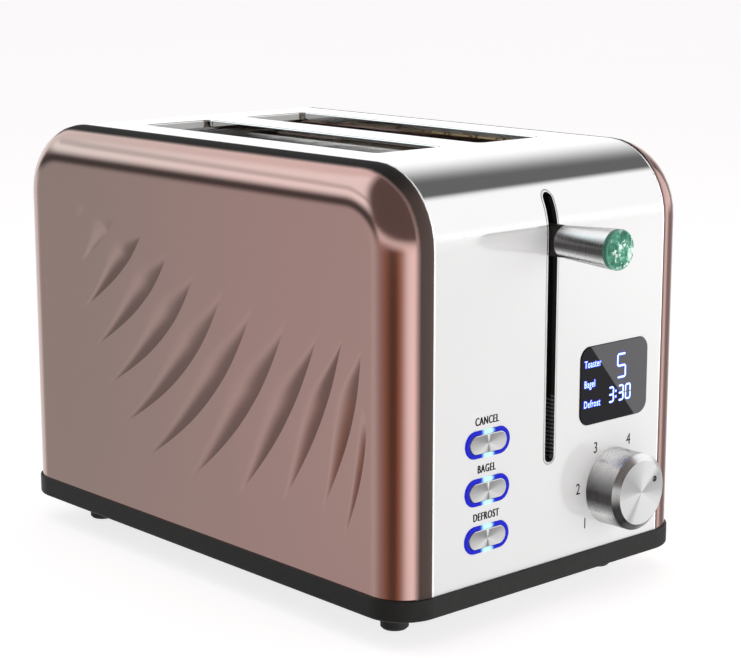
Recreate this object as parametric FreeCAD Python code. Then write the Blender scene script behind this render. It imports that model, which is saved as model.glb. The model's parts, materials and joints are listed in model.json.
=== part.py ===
import FreeCAD, Part

import math
import os

Vector = FreeCAD.Vector
X_AXIS = Vector(1, 0, 0)
Y_AXIS = Vector(0, 1, 0)
Z_AXIS = Vector(0, 0, 1)

# Two-slot pop up toaster, in millimetres. X is the width, Y the length with the control end at -Y,
# and Z is up. Everything is drawn about the middle of the body and moved at export, so that the
# origin is at the bottom centre of the whole object, lever included.

# ---- driving dimensions ----
WIDTH = 170.0  # over the two side covers
LENGTH = 265.6  # over the steel wrap
HEIGHT = 191.2  # feet to the top of the wrap
FOOT_HEIGHT = 12.4
BASE_HEIGHT = 9.0
BASE_LIP = 1.1  # the base stands this far outside the body
WRAP_WIDTH = 135.0
WRAP_SHEET = 0.8
BEND = 32.0  # side-view radius of the two top bends
COVER_SHEET = 1.0
COVER_ROUND = 17.0  # rounded edge of a side cover
SEAM = 0.3  # gap between a cover and the wrap

SLOT_MID = 29.5  # bread slot centre from the middle
SLOT_HALF = 18.5
SLOT_FRONT = -78.0
SLOT_BACK = 82.0
SLOT_LIP = 1.0

LEVER_X = -1.35
LEVER_Z = 157.2
LEVER_TIP = 36.0  # end cap face in front of the panel
LEVER_ROOT = 6.1  # back end of the sleeve in front of the panel
LEVER_CAP = 2.6
SLIT_HALF = 2.7
SLIT_LOW = 64.4
SLIT_HIGH = 176.2
SLIT_LIP = 0.6  # thickness of the slit's edge, which is turned inwards
SLIT_LIP_DEPTH = 2.2
PRESS_TRAVEL = 85.0
LIFT_TRAVEL = 12.0

DISPLAY_X = 37.8
DISPLAY_Z = 93.0
DISPLAY_W = 42.5
DISPLAY_H = 33.5
DISPLAY_ROUND = 5.5

BUTTON_X = -37.75
BUTTON_Z = {"cancel": 79.2, "bagel": 59.5, "defrost": 39.8}
RING_W = 25.0
RING_H = 11.3
CAP_W = 21.0
CAP_H = 7.9

KNOB_X = 38.0
KNOB_Z = 47.3
KNOB_R = 16.5
KNOB_FACE_R = 13.7
KNOB_REACH = 16.7  # face in front of the panel
KNOB_SIDE = 14.5  # start of the chamfer in front of the panel
DOT_R = 9.6
DOT_ANGLE = 28.5  # degrees above +X at rest

FOOT_X = 61.9
FOOT_Y = 104.65
FOOT_R = 5.9

GUARD_OFFSET = 17.0  # a bread guard from the middle of its slot
GUARD_LOW = 36.0  # guard pivot height
GUARD_HIGH = 182.0
RACK_TOP = 138.0
GLAND_X = 45.0
GLAND_Z = 36.0
GLAND_BORE = 3.4

# ---- worked out from them ----
BASE_TOP = FOOT_HEIGHT + BASE_HEIGHT
HALF_L = LENGTH / 2
HALF_W = WIDTH / 2
WRAP_HALF = WRAP_WIDTH / 2
FRONT = -HALF_L
BACK = HALF_L
FLOOR_TOP = FOOT_HEIGHT + 2.5  # inside floor of the base tray
CHASSIS_Z = BASE_TOP + 1.4  # underside of the chassis floor
CHASSIS_SHEET = 0.8
PLATE_Z = CHASSIS_Z + CHASSIS_SHEET
TOP_PLATE_Z = HEIGHT - 7.8
FRONT_PLATE_Y = -92.0
REAR_PLATE_Y = 95.0
PLATE = 1.0
CARRIAGE_Y = FRONT_PLATE_Y - 5.0  # rear face of the carriage plate
ROD_X = 16.0
ROD_Y = -106.0
ROD_R = 2.5
MAGNET_X = -20.0
MAGNET_Y = -108.0
MAGNET_TOP = 43.5
SPRING_X = -22.0
SPRING_Y = -108.0
SPRING_LOW = 152.5
BRACKET_Z = 180.5
BOARD_Y = -121.5  # front face of the upright boards
BOARD = 1.5
TRAY_HALF = 55.0
TRAY_FRONT = -112.0
TRAY_BACK = 122.0
TRAY_LOW = FLOOR_TOP + 0.3
TRAY_HIGH = BASE_TOP - 0.4
GLAND_BACK = BACK + 4.0
ORIGIN_Y = ((FRONT - LEVER_TIP) + GLAND_BACK) / 2


# ---- shape helpers ----
def box(x0, x1, y0, y1, z0, z1):
    return Part.makeBox(x1 - x0, y1 - y0, z1 - z0, Vector(x0, y0, z0))


def rod_y(r, y0, y1, x, z):
    return Part.makeCylinder(r, y1 - y0, Vector(x, y0, z), Y_AXIS)


def rod_z(r, z0, z1, x, y):
    return Part.makeCylinder(r, z1 - z0, Vector(x, y, z0), Z_AXIS)


def join(shapes):
    return shapes[0].multiFuse(shapes[1:]).removeSplitter() if len(shapes) > 1 else shapes[0]


def cut(shape, tools):
    return shape.cut(Part.makeCompound(tools))


def group(shapes):
    return Part.makeCompound(shapes)


def round_edges(shape, radius, wanted):
    """Rounds the edges for which wanted(bounding box of the edge) is true."""
    return shape.makeFillet(radius, [e for e in shape.Edges if wanted(e.BoundBox)])


def rounded_outline(w, h, r):
    """Closed wire of a rounded rectangle about the origin, in the XY plane."""
    a, b = w / 2, h / 2
    edges = []
    corners = [(a - r, b - r, 0), (-a + r, b - r, 90), (-a + r, -b + r, 180), (a - r, -b + r, 270)]
    for cx, cy, start in corners:
        arc = Part.Circle(Vector(cx, cy, 0), Z_AXIS, r)
        edges.append(Part.Arc(arc, math.radians(start), math.radians(start + 90)).toShape())
    ends = [(e.valueAt(e.FirstParameter), e.valueAt(e.LastParameter)) for e in edges]
    for i in range(4):
        start, finish = ends[i][1], ends[(i + 1) % 4][0]
        if start.distanceToPoint(finish) > 1e-6:
            edges.append(Part.makeLine(start, finish))
    return Part.Wire(Part.__sortEdges__(edges))


def upright_prism(w, d, r, z0, z1, x=0.0, y=0.0):
    """Rounded rectangle in plan, from z0 to z1."""
    face = Part.Face(rounded_outline(w, d, r))
    solid = face.extrude(Vector(0, 0, z1 - z0))
    solid.translate(Vector(x, y, z0))
    return solid


def panel_prism(w, h, r, y0, y1, x, z):
    """Rounded rectangle seen from the front, from y0 to y1."""
    face = Part.Face(rounded_outline(w, h, r))
    solid = face.extrude(Vector(0, 0, y1 - y0))
    solid.rotate(Vector(0, 0, 0), X_AXIS, -90)
    solid.translate(Vector(x, y0, z))
    return solid


def stadium(w, h, y0, y1, x, z):
    return panel_prism(w, h, h / 2 - 1e-3, y0, y1, x, z)


def body_solid(inset, x0, x1, bottom):
    """The body's side profile, drawn inset, between two X planes: straight sides and two top bends."""
    half = HALF_L - inset
    top = HEIGHT - inset
    r = BEND - inset
    s = r * math.sin(math.pi / 4)
    p = [
        Vector(x0, -half, bottom),
        Vector(x0, -half, top - r),
        Vector(x0, -half + r - s, top - r + s),
        Vector(x0, -half + r, top),
        Vector(x0, half - r, top),
        Vector(x0, half - r + s, top - r + s),
        Vector(x0, half, top - r),
        Vector(x0, half, bottom),
    ]
    edges = [
        Part.makeLine(p[0], p[1]),
        Part.Arc(p[1], p[2], p[3]).toShape(),
        Part.makeLine(p[3], p[4]),
        Part.Arc(p[4], p[5], p[6]).toShape(),
        Part.makeLine(p[6], p[7]),
        Part.makeLine(p[7], p[0]),
    ]
    return Part.Face(Part.Wire(edges)).extrude(Vector(x1 - x0, 0, 0))


def screw(x, y, head_z, length, shank_r=1.5, head_r=3.0, head_h=1.8):
    """A screw put in from below: head at head_z, shank upwards."""
    head = rod_z(head_r, head_z, head_z + head_h, x, y)
    recess = rod_z(0.9, head_z, head_z + 0.9, x, y)
    return join([head, rod_z(shank_r, head_z + head_h, head_z + head_h + length, x, y)]).cut(recess)


def mirrored(shape):
    return shape.mirror(Vector(0, 0, 0), X_AXIS)


# ---- shell ----
def steel_wrap():
    outer = body_solid(0, -WRAP_HALF, WRAP_HALF, BASE_TOP)
    outer = round_edges(
        outer,
        0.4,
        lambda b: b.XLength < 1e-6 and b.ZMax > BASE_TOP + 1,
    )
    shell = outer.cut(body_solid(WRAP_SHEET, -WRAP_HALF - 1, WRAP_HALF + 1, BASE_TOP - 1))
    slot_w = 2 * SLOT_HALF
    slot_l = SLOT_BACK - SLOT_FRONT
    slot_y = (SLOT_BACK + SLOT_FRONT) / 2
    rims = []
    holes = []
    for side in (-1, 1):
        x = side * SLOT_MID
        rims.append(
            upright_prism(
                slot_w + 2 * SLOT_LIP, slot_l + 2 * SLOT_LIP, 3 + SLOT_LIP, HEIGHT - 3.5, HEIGHT - 0.4, x, slot_y
            )
        )
        holes.append(upright_prism(slot_w, slot_l, 3, HEIGHT - 5, HEIGHT + 1, x, slot_y))
    shell = cut(join([shell] + rims), holes)
    shell = round_edges(shell, 0.7, is_slot_rim)
    # the lip round the slit follows the panel and its top bend
    skin = body_solid(0.4, -WRAP_HALF, WRAP_HALF, BASE_TOP).cut(
        body_solid(SLIT_LIP_DEPTH, -WRAP_HALF, WRAP_HALF, BASE_TOP - 1)
    )
    shell = shell.fuse(slit_prism(SLIT_LIP, FRONT - 1, FRONT + 12).common(skin))
    shell = shell.cut(slit_prism(0, FRONT - 1, FRONT + 14))
    window = panel_prism(
        DISPLAY_W + 0.3, DISPLAY_H + 0.3, DISPLAY_ROUND + 0.15, FRONT - 1, FRONT + 2, DISPLAY_X, DISPLAY_Z
    )
    openings = [window, rod_y(3.6, FRONT - 1, FRONT + 2, KNOB_X, KNOB_Z)]
    for z in BUTTON_Z.values():
        openings.append(stadium(RING_W + 0.2, RING_H + 0.2, FRONT - 1, FRONT + 2, BUTTON_X, z))
    openings.append(rod_y(6.0, BACK - 2, BACK + 1, GLAND_X, GLAND_Z))
    return cut(shell, openings)


def slit_prism(margin, y0, y1):
    """The lever slit with its round ends, drawn larger all round by margin."""
    width = 2 * (SLIT_HALF + margin)
    height = SLIT_HIGH - SLIT_LOW + 2 * margin
    return panel_prism(width, height, width / 2 - 1e-3, y0, y1, LEVER_X, (SLIT_LOW + SLIT_HIGH) / 2)


def is_slot_rim(b):
    """True for an edge of a bread slot in the wrap's top face."""
    level = abs(b.ZMax - HEIGHT) < 1e-4 and b.ZLength < 1e-4
    in_x = b.XMax < SLOT_MID + SLOT_HALF + 0.1 and b.XMin > -SLOT_MID - SLOT_HALF - 0.1
    in_y = b.YMin > SLOT_FRONT - 0.1 and b.YMax < SLOT_BACK + 0.1
    return level and in_x and in_y


def side_cover_right():
    x0 = WRAP_HALF + SEAM
    outer = body_solid(0, x0, HALF_W, BASE_TOP)
    outer = round_edges(outer, COVER_ROUND, lambda b: b.XMin > HALF_W - 1e-4 and b.ZMax > BASE_TOP + 1)
    inner = body_solid(COVER_SHEET, x0 - 1, HALF_W - COVER_SHEET, BASE_TOP - 20)
    inner = round_edges(
        inner,
        COVER_ROUND - COVER_SHEET,
        lambda b: b.XMin > HALF_W - COVER_SHEET - 1e-4 and b.ZMax > BASE_TOP - 19,
    )
    shell = outer.cut(inner)
    lip = body_solid(0.5, x0, x0 + 1, BASE_TOP).cut(body_solid(6, x0 - 1, x0 + 2, BASE_TOP - 1))
    foot_flange = box(x0, HALF_W - 0.5, -100, 100, BASE_TOP, BASE_TOP + 1)
    cover = join([shell, lip, foot_flange])
    return cut(cover, [rod_z(1.6, BASE_TOP - 1, BASE_TOP + 2, HALF_W - 9, y) for y in (-62, 62)])


def base_tray():
    w = WIDTH + 2 * BASE_LIP
    length = LENGTH + 2 * BASE_LIP
    r = COVER_ROUND + BASE_LIP
    wall = 2.6
    outer = upright_prism(w, length, r, FOOT_HEIGHT, BASE_TOP)
    outer = round_edges(outer, 1.2, lambda b: b.ZMax < FOOT_HEIGHT + 1e-4)
    outer = round_edges(outer, 0.4, lambda b: b.ZMin > BASE_TOP - 1e-4)
    tray = outer.cut(upright_prism(w - 2 * wall, length - 2 * wall, r - wall, FLOOR_TOP, BASE_TOP + 1))
    additions = []
    holes = [box(-TRAY_HALF - 1.3, TRAY_HALF + 1.3, BACK - 8, BACK + 5, FLOOR_TOP, BASE_TOP + 1)]
    for sx in (-1, 1):
        rail = sorted((sx * (TRAY_HALF + 0.5), sx * (TRAY_HALF + 2.0)))
        additions.append(box(rail[0], rail[1], TRAY_FRONT, TRAY_BACK - 2, FLOOR_TOP - 0.5, BASE_TOP))
        for y in (-FOOT_Y, FOOT_Y):
            additions.append(rod_z(4.0, FLOOR_TOP - 0.5, BASE_TOP, sx * FOOT_X, y))
            holes.append(rod_z(1.6, FOOT_HEIGHT - 1, BASE_TOP + 1, sx * FOOT_X, y))
        for y in (-62, 62):
            additions.append(rod_z(4.0, FLOOR_TOP - 0.5, BASE_TOP, sx * (HALF_W - 9), y))
            holes.append(rod_z(1.6, FOOT_HEIGHT - 1, BASE_TOP + 1, sx * (HALF_W - 9), y))
            holes.append(rod_z(3.3, FOOT_HEIGHT - 1, FOOT_HEIGHT + 2.2, sx * (HALF_W - 9), y))
    # posts that carry the chassis floor
    for x, y in chassis_posts():
        additions.append(rod_z(3.5, FLOOR_TOP - 0.5, CHASSIS_Z, x, y))
        holes.append(rod_z(1.3, FLOOR_TOP, CHASSIS_Z + 1, x, y))
    stop = box(-TRAY_HALF, TRAY_HALF, TRAY_FRONT - 2.5, TRAY_FRONT - 1.0, FLOOR_TOP - 0.5, BASE_TOP)
    return cut(join([tray, stop] + additions), holes)


def chassis_posts():
    """Post centres: four under the flanges of the upright plates, two at mid length."""
    rows = (FRONT_PLATE_Y + 3.6, 0.0, REAR_PLATE_Y - 3.4)
    return [(x, y) for x in (-61.0, 61.0) for y in rows]


def foot(x, y):
    pad = rod_z(FOOT_R, 0, FOOT_HEIGHT, x, y)
    pad = pad.makeChamfer(0.9, [e for e in pad.Edges if e.BoundBox.ZMax < 1e-4])
    return cut(pad, [rod_z(3.2, -1, 4, x, y), rod_z(1.6, -1, FOOT_HEIGHT + 1, x, y)])


def cord_gland():
    flange = rod_y(8.5, BACK, BACK + 2.0, GLAND_X, GLAND_Z)
    nose = Part.makeCone(6.2, 5.0, GLAND_BACK - BACK - 2, Vector(GLAND_X, BACK + 2, GLAND_Z), Y_AXIS)
    neck = rod_y(5.9, BACK - 5, BACK, GLAND_X, GLAND_Z)
    return join([flange, nose, neck]).cut(rod_y(GLAND_BORE, BACK - 6, GLAND_BACK + 1, GLAND_X, GLAND_Z))


# ---- crumb tray ----
def crumb_tray():
    sheet = 0.6
    outer = box(-TRAY_HALF, TRAY_HALF, TRAY_FRONT, TRAY_BACK, TRAY_LOW, TRAY_HIGH)
    inner = box(
        -TRAY_HALF + sheet, TRAY_HALF - sheet, TRAY_FRONT + sheet, TRAY_BACK - sheet, TRAY_LOW + sheet, TRAY_HIGH + 1
    )
    return outer.cut(inner)


def crumb_tray_handle():
    outer_y = BACK + BASE_LIP
    bar = box(-TRAY_HALF - 1, TRAY_HALF + 1, TRAY_BACK, outer_y, TRAY_LOW, TRAY_HIGH + 0.1)
    grip = box(-22, 22, outer_y - 5, outer_y + 1, TRAY_LOW - 1, TRAY_LOW + 3)
    bar = bar.cut(grip)
    return round_edges(bar, 0.5, lambda b: b.YMin > outer_y - 1e-4 and b.XLength > 20 and b.ZMin > TRAY_LOW + 2)


# ---- chassis ----
def chassis_floor():
    plate = box(-65.5, 65.5, FRONT + 4, BACK - 12, CHASSIS_Z, PLATE_Z)
    holes = []
    for sx in (-1, 1):
        well = sorted((sx * 7.0, sx * 51.0))
        holes.append(box(well[0], well[1], FRONT_PLATE_Y + 6, REAR_PLATE_Y - 6, CHASSIS_Z - 1, PLATE_Z + 1))
    for x, y in chassis_posts():
        holes.append(rod_z(1.3, CHASSIS_Z - 1, PLATE_Z + 1, x, y))
    return cut(plate, holes)


def upright_plate(y0, flange_y0, flange_y1, arm_half):
    """Front or rear plate: pivot holes for the guards and two tall slots for the racks."""
    plate = join(
        [
            box(-64.5, 64.5, y0, y0 + PLATE, PLATE_Z, TOP_PLATE_Z),
            box(-64.5, 64.5, flange_y0, flange_y1, PLATE_Z, PLATE_Z + PLATE),
        ]
    )
    holes = []
    for side in (-1, 1):
        mid = side * SLOT_MID
        low = RACK_TOP - PRESS_TRAVEL - 8 - 3
        high = RACK_TOP + LIFT_TRAVEL + 2
        holes.append(box(mid - arm_half, mid + arm_half, y0 - 1, y0 + PLATE + 1, low, high))
        for offset in (-GUARD_OFFSET, GUARD_OFFSET):
            holes.append(rod_y(1.3, y0 - 1, y0 + PLATE + 1, mid + offset, GUARD_LOW))
    holes += [rod_z(1.3, PLATE_Z - 1, PLATE_Z + 2, x, y) for x, y in chassis_posts()]
    return cut(plate, holes)


def front_plate():
    return upright_plate(FRONT_PLATE_Y, FRONT_PLATE_Y, FRONT_PLATE_Y + 6, 1.8)


def rear_plate():
    return upright_plate(REAR_PLATE_Y, REAR_PLATE_Y - 6, REAR_PLATE_Y + PLATE, 1.8)


def top_plate():
    plate = box(-64.5, 64.5, FRONT_PLATE_Y - 2, REAR_PLATE_Y + 3, TOP_PLATE_Z, TOP_PLATE_Z + 0.8)
    length = SLOT_BACK - SLOT_FRONT + 8
    y = (SLOT_BACK + SLOT_FRONT) / 2
    holes = []
    for side in (-1, 1):
        x = side * SLOT_MID
        holes.append(upright_prism(2 * SLOT_HALF + 3, length, 3, TOP_PLATE_Z - 1, TOP_PLATE_Z + 2, x, y))
    return cut(plate, holes)


def heat_shields():
    y0 = FRONT_PLATE_Y + 7
    y1 = REAR_PLATE_Y - 7
    return group([box(x - 0.25, x + 0.25, y0, y1, PLATE_Z, TOP_PLATE_Z - 2) for x in (-58.0, 58.0)])


# ---- heaters ----
def heater_board(x):
    y0 = FRONT_PLATE_Y + PLATE + 0.2
    y1 = REAR_PLATE_Y - 0.2
    board = box(x - 0.3, x + 0.3, y0, y1, 42, 176)
    notches = [box(x - 1, x + 1, y, y + 4, z, z + 3) for y in (y0 - 2, y1 - 2) for z in range(52, 172, 12)]
    return cut(board, notches)


def heater_winding(x, face):
    """Flat resistance ribbon in level runs on the side of the board that faces the bread."""
    x0, x1 = sorted((x + face * 0.3, x + face * 0.6))
    return group([box(x0, x1, SLOT_FRONT, SLOT_BACK, 50 + 10 * i, 51.4 + 10 * i) for i in range(13)])


# ---- bread guards and racks ----
def bread_guard(x):
    pivot = rod_y(1.2, FRONT_PLATE_Y - 1, REAR_PLATE_Y + PLATE + 1, x, GUARD_LOW)
    top = rod_y(1.0, SLOT_FRONT + 2, SLOT_BACK - 2, x, GUARD_HIGH - 1)
    middle = rod_y(1.0, SLOT_FRONT + 2, SLOT_BACK - 2, x, 108)
    span = SLOT_BACK - SLOT_FRONT - 8
    wires = [
        rod_z(0.8, GUARD_LOW, GUARD_HIGH - 1, x, SLOT_FRONT + 4 + span * i / 8) for i in range(9)
    ]
    return join([pivot, top, middle] + wires)


def bread_rack(x):
    bar = box(x - 0.8, x + 0.8, CARRIAGE_Y, REAR_PLATE_Y + 6, RACK_TOP - 8, RACK_TOP)
    span = SLOT_BACK - SLOT_FRONT - 20
    fingers = [
        box(x - 12, x + 12, y, y + 5, RACK_TOP - 1.2, RACK_TOP)
        for y in [SLOT_FRONT + 7 + span * i / 7 for i in range(8)]
    ]
    return join([bar] + fingers)


# ---- carriage ----
def carriage():
    front = CARRIAGE_Y - 1.5
    plate = box(-38, 38, front, CARRIAGE_Y, 120, 165)
    window = box(-12, 8, front - 1, CARRIAGE_Y + 1, 126, 146)
    web = box(ROD_X - 2, ROD_X + 2, ROD_Y, front + 0.5, 122, 162)
    bush = rod_z(5.0, 116, 164, ROD_X, ROD_Y)
    lug = box(SPRING_X - 5, SPRING_X + 5, SPRING_Y - 4, front, SPRING_LOW - 2.0, SPRING_LOW)
    arm = box(MAGNET_X - 5, MAGNET_X + 5, MAGNET_Y - 4, front, keeper_low() + 2.5, keeper_low() + 4.5)
    solid = cut(join([plate, web, bush, lug, arm]), [window, rod_z(ROD_R + 0.06, 100, 180, ROD_X, ROD_Y)])
    return solid


def keeper_low():
    return MAGNET_TOP + PRESS_TRAVEL + 0.3


def keeper():
    return rod_z(7.0, keeper_low(), keeper_low() + 2.5, MAGNET_X, MAGNET_Y)


def lever_arm():
    """Black blade through the slit, square up to the sleeve, with a stub that carries the sleeve."""
    front = CARRIAGE_Y - 1.5
    neck_y = FRONT - LEVER_ROOT
    blade = box(LEVER_X - 2.1, LEVER_X + 2.1, neck_y, front, LEVER_Z - 6.5, LEVER_Z + 6.5)
    blade = round_edges(blade, 1.2, lambda b: b.YLength > 20)
    return join([blade, rod_y(2.95, neck_y - 14, neck_y, LEVER_X, LEVER_Z)])


def lever_sleeve():
    y0 = FRONT - LEVER_ROOT
    length = LEVER_TIP - LEVER_ROOT - LEVER_CAP
    shape = Part.makeCone(6.55, 8.2, length, Vector(LEVER_X, y0, LEVER_Z), -Y_AXIS)
    shape = round_edges(shape, 0.5, lambda b: b.YMin > y0 - 1e-4)
    return shape.cut(rod_y(3.0, y0 - 14, y0 + 1, LEVER_X, LEVER_Z))


def lever_cap():
    y0 = FRONT - LEVER_TIP
    disc = rod_y(8.2, y0, y0 + LEVER_CAP, LEVER_X, LEVER_Z)
    return round_edges(disc, 1.2, lambda b: b.YMax < y0 + 1e-4)


def lever_guide():
    """Black channel behind the slot, closed at its foot, trimmed to the inside of the wrap."""
    outer = box(LEVER_X - 5.4, LEVER_X + 5.4, FRONT, FRONT + 13, SLIT_LOW - 4, SLIT_HIGH + 5)
    inner = box(LEVER_X - 3.6, LEVER_X + 3.6, FRONT - 1, FRONT + 20, SLIT_LOW - 1.5, SLIT_HIGH + 9)
    return outer.cut(inner).common(body_solid(WRAP_SHEET + 0.1, -60, 60, BASE_TOP))


def guide_rod():
    return rod_z(ROD_R, PLATE_Z, BRACKET_Z, ROD_X, ROD_Y)


def top_bracket():
    plate = box(-32, 24, -112, FRONT_PLATE_Y - 2, BRACKET_Z, BRACKET_Z + 1.5)
    tab = box(-32, 24, FRONT_PLATE_Y - 2, FRONT_PLATE_Y, 168, BRACKET_Z + 1.5)
    inner_slot = box(LEVER_X - 4, LEVER_X + 4, FRONT_PLATE_Y - 3, FRONT_PLATE_Y + 1, 160, BRACKET_Z - 1)
    return join([plate, tab]).cut(inner_slot)


def lift_spring():
    """Extension spring between the carriage lug and the top bracket."""
    coil_r = 4.0
    wire_r = 0.45
    low = SPRING_LOW + wire_r + 0.1
    high = BRACKET_Z - wire_r - 0.1
    turns = 10
    path = Part.Wire(Part.makeHelix((high - low) / turns, high - low, coil_r).Edges)
    circle = Part.Wire(Part.makeCircle(wire_r, Vector(coil_r, 0, 0), Y_AXIS))
    coil = path.makePipeShell([circle], True, True)
    coil.translate(Vector(SPRING_X, SPRING_Y, low))
    return coil


# ---- electromagnet ----
def magnet_bracket():
    foot_plate = box(MAGNET_X - 9, MAGNET_X + 9, MAGNET_Y - 9, MAGNET_Y + 9, PLATE_Z, PLATE_Z + 1.5)
    back = box(MAGNET_X - 9, MAGNET_X + 9, MAGNET_Y + 9, MAGNET_Y + 10.2, PLATE_Z, PLATE_Z + 10)
    return join([foot_plate, back])


def magnet_core():
    return rod_z(3.4, PLATE_Z + 1.5, MAGNET_TOP, MAGNET_X, MAGNET_Y)


def magnet_coil():
    z0 = PLATE_Z + 1.5
    z1 = MAGNET_TOP - 1.5
    shape = join(
        [
            rod_z(8.0, z0, z0 + 1.2, MAGNET_X, MAGNET_Y),
            rod_z(7.0, z0 + 1.2, z1 - 1.2, MAGNET_X, MAGNET_Y),
            rod_z(8.0, z1 - 1.2, z1, MAGNET_X, MAGNET_Y),
        ]
    )
    return shape.cut(rod_z(3.45, z0 - 1, z1 + 1, MAGNET_X, MAGNET_Y))


# ---- controls ----
def display_lens():
    y0 = FRONT - 0.5
    lens = panel_prism(DISPLAY_W, DISPLAY_H, DISPLAY_ROUND, y0, FRONT + WRAP_SHEET, DISPLAY_X, DISPLAY_Z)
    return round_edges(lens, 0.4, lambda b: b.YMax < y0 + 1e-4)


def display_frame():
    y0 = FRONT + WRAP_SHEET
    y1 = BOARD_Y - 0.1
    outer = panel_prism(DISPLAY_W + 5, DISPLAY_H + 5, DISPLAY_ROUND, y0, y1, DISPLAY_X, DISPLAY_Z)
    inner = panel_prism(DISPLAY_W - 3, DISPLAY_H - 3, 2, y0 - 1, y1 + 1, DISPLAY_X, DISPLAY_Z)
    return outer.cut(inner)


def display_module():
    return box(
        DISPLAY_X - 19, DISPLAY_X + 19, FRONT + WRAP_SHEET + 0.4, BOARD_Y, DISPLAY_Z - 14.5, DISPLAY_Z + 14.5
    )


def control_board():
    board = box(9, 63, BOARD_Y, BOARD_Y + BOARD, 30, 116)
    return cut(board, [rod_y(1.4, BOARD_Y - 1, BOARD_Y + 3, x, z) for x in (13, 59) for z in (34, 69)])


def control_chips():
    y0 = BOARD_Y + BOARD
    parts = [box(20, 32, y0, y0 + 2, 84, 96), box(38, 46, y0, y0 + 1.6, 88, 94), box(46, 56, y0, y0 + 6, 52, 60)]
    parts += [rod_y(3.0, y0, y0 + 9, 20 + 8 * i, 104) for i in range(4)]
    return group(parts)


def rotary_encoder():
    body = box(KNOB_X - 7, KNOB_X + 7, BOARD_Y - 6.5, BOARD_Y, KNOB_Z - 7, KNOB_Z + 7)
    neck = rod_y(3.4, FRONT + 0.5, BOARD_Y - 6.5, KNOB_X, KNOB_Z)
    return join([body, neck]).cut(rod_y(2.55, FRONT - 1, BOARD_Y - 2, KNOB_X, KNOB_Z))


def knob_shaft():
    return rod_y(2.5, FRONT - 13.5, BOARD_Y - 2.5, KNOB_X, KNOB_Z)


def browning_knob():
    """Turned cup: gap, cylindrical side, chamfer, flat face; the hub takes the shaft."""
    gap = 0.4
    outline = [
        Vector(0, FRONT - KNOB_REACH, 0),
        Vector(KNOB_FACE_R, FRONT - KNOB_REACH, 0),
        Vector(KNOB_R, FRONT - KNOB_SIDE, 0),
        Vector(KNOB_R, FRONT - gap, 0),
        Vector(KNOB_R - 1.8, FRONT - gap, 0),
        Vector(KNOB_R - 1.8, FRONT - KNOB_SIDE + 1, 0),
        Vector(5, FRONT - KNOB_SIDE + 1, 0),
        Vector(5, FRONT - 3, 0),
        Vector(0, FRONT - 3, 0),
    ]
    face = Part.Face(Part.makePolygon(outline + [outline[0]]))
    solid = face.revolve(Vector(0, 0, 0), Y_AXIS, 360)
    solid.translate(Vector(KNOB_X, 0, KNOB_Z))
    angle = math.radians(DOT_ANGLE)
    dot_x = KNOB_X + DOT_R * math.cos(angle)
    dot_z = KNOB_Z + DOT_R * math.sin(angle)
    shaft_hole = rod_y(2.5, FRONT - 13.5, FRONT + 1, KNOB_X, KNOB_Z)
    dimple = rod_y(1.0, FRONT - KNOB_REACH - 1, FRONT - KNOB_REACH + 0.4, dot_x, dot_z)
    return cut(solid, [shaft_hole, dimple])


def light_ring(z):
    y0 = FRONT - 0.6
    y1 = FRONT + 3.2
    ring = stadium(RING_W, RING_H, y0, y1, BUTTON_X, z)
    ring = round_edges(ring, 0.4, lambda b: b.YMax < y0 + 1e-4)
    return ring.cut(stadium(CAP_W + 0.4, CAP_H + 0.4, y0 - 1, y1 + 1, BUTTON_X, z))


def button_cap(z):
    y0 = FRONT - 0.85
    head = stadium(CAP_W, CAP_H, y0, FRONT + 2.4, BUTTON_X, z)
    head = round_edges(head, 0.5, lambda b: b.YMax < y0 + 1e-4)
    stem = rod_y(1.6, FRONT + 2.4, BOARD_Y - 5.2, BUTTON_X, z)
    return join([head, stem])


def button_frame():
    low = min(BUTTON_Z.values())
    high = max(BUTTON_Z.values())
    y0 = FRONT + WRAP_SHEET
    frame = panel_prism(31, high - low + 18, 4, y0, y0 + 3.0, BUTTON_X, (low + high) / 2)
    holes = [stadium(RING_W + 0.1, RING_H + 0.1, y0 - 1, y0 + 2.4, BUTTON_X, z) for z in BUTTON_Z.values()]
    holes += [stadium(RING_W - 2.5, RING_H - 1.5, y0 - 1, y0 + 9, BUTTON_X, z) for z in BUTTON_Z.values()]
    return cut(frame, holes)


def button_board():
    board = box(-56, -20, BOARD_Y, BOARD_Y + BOARD, 28, 92)
    return cut(board, [rod_y(1.4, BOARD_Y - 1, BOARD_Y + 3, x, z) for x in (-52, -24) for z in (32, 88)])


def key_switch(z):
    case = box(BUTTON_X - 3, BUTTON_X + 3, BOARD_Y - 2.2, BOARD_Y, z - 3, z + 3)
    return join([case, rod_y(1.7, BOARD_Y - 3.2, BOARD_Y - 2.2, BUTTON_X, z)])


def board_screws():
    """Screws that hold the two upright boards to their stand-offs, heads at the back."""
    spots = [(x, z) for x in (13, 59) for z in (34, 69)] + [(x, z) for x in (-52, -24) for z in (32, 88)]
    screws = []
    for x, z in spots:
        shank = rod_y(1.2, BOARD_Y - 4, BOARD_Y + BOARD, x, z)
        head = rod_y(2.4, BOARD_Y + BOARD, BOARD_Y + BOARD + 1.6, x, z)
        screws.append(join([shank, head]))
    return group(screws)


def power_board():
    return box(41, 63, FRONT_PLATE_Y - 3.6, FRONT_PLATE_Y - 2.0, 28, 112)


def power_components():
    y1 = FRONT_PLATE_Y - 3.6
    relay = box(44, 60, y1 - 14, y1, 34, 60)
    drop_capacitor = box(45, 59, y1 - 9, y1, 66, 84)
    smoothing = rod_y(5.0, y1 - 14, y1, 52, 98)
    return group([relay, drop_capacitor, smoothing])


def main_contacts():
    """Leaf contact block that the carriage closes at the bottom of its travel."""
    block = box(24, 38, -112, -99, PLATE_Z, PLATE_Z + 6)
    leaves = [box(x, x + 4, -110, -109.5, PLATE_Z + 6, PLATE_Z + 10) for x in (26, 32)]
    return join([block] + leaves)


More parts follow.
